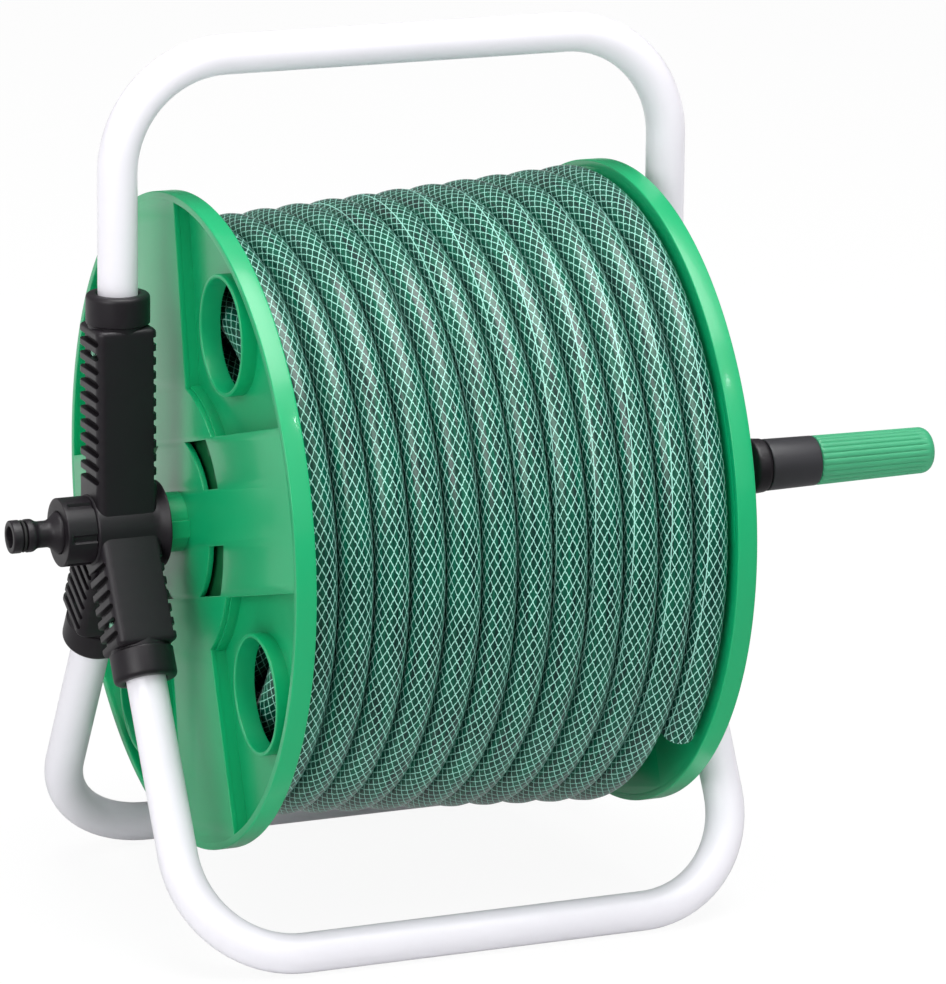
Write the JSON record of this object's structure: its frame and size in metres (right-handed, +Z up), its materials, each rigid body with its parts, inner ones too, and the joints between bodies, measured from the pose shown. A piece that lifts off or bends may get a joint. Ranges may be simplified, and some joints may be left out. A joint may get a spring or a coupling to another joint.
{
  "type": "hose reel",
  "caption": "Free-standing garden hose reel: bent tube frame in ribbed hubs, flanged drum wound with hose, side inlet and folded-out crank with a turning grip.",
  "frame": {"origin": "on the ground, under the middle of the whole object's box", "axes": "+Z up; +X along the drum's axis from the inlet to the crank; -Y is the front, where the crank's grip stands at rest"},
  "size_m": [0.4702, 0.3298, 0.4486],
  "materials": {
    "white_paint": "gloss powder coat",
    "green_plastic": "moulded, satin",
    "grip_green": "moulded, fluted",
    "black_plastic": "moulded, satin",
    "grey_plastic": "moulded, satin",
    "hose_green": "clear outer layer over a net of pale threads",
    "rubber": "matt",
    "zinc": "zinc plated",
    "bearing_plastic": "natural acetal"
  },
  "bodies": {
    "frame": {"handle_tube": "white_paint", "front_leg_tube": "white_paint", "rear_leg_tube": "white_paint", "left_hub": "black_plastic", "right_hub": "black_plastic", "inlet_pipe": "black_plastic", "connector_nut": "black_plastic", "connector_nose": "black_plastic", "left_handle_screw": "zinc", "left_front_screw": "zinc", "left_rear_screw": "zinc", "right_handle_screw": "zinc", "right_front_screw": "zinc", "right_rear_screw": "zinc", "left_bearing_bush": "bearing_plastic", "right_bearing_bush": "bearing_plastic", "inlet_seal": "rubber", "connector_washer": "rubber", "nose_seal": "rubber"},
    "drum": {"left_flange": "green_plastic", "right_flange": "green_plastic", "barrel": "green_plastic", "left_end_disc": "green_plastic", "right_end_disc": "green_plastic", "hose_core": "hose_green", "hose_winding": "hose_green", "hose_tail": "hose_green", "water_elbow": "black_plastic", "hose_clamp": "zinc", "crank_shaft": "zinc", "crank_arm": "black_plastic", "crank_bolt": "zinc", "crank_washer": "zinc", "grip_spindle": "zinc", "grip_sleeve": "grey_plastic"},
    "grip": {"grip": "grip_green"}
  },
  "joints": [
    {"name": "drum_spin", "type": "hinge", "parent": "frame", "child": "drum", "pos_m": [-0.0307, 0, 0.20363], "axis": [1, 0, 0], "continuous": true},
    {"name": "grip_spin", "type": "hinge", "parent": "drum", "child": "grip", "pos_m": [0.20262, -0.07046, 0.22384], "axis": [1, 0, 0], "continuous": true}
  ]
}
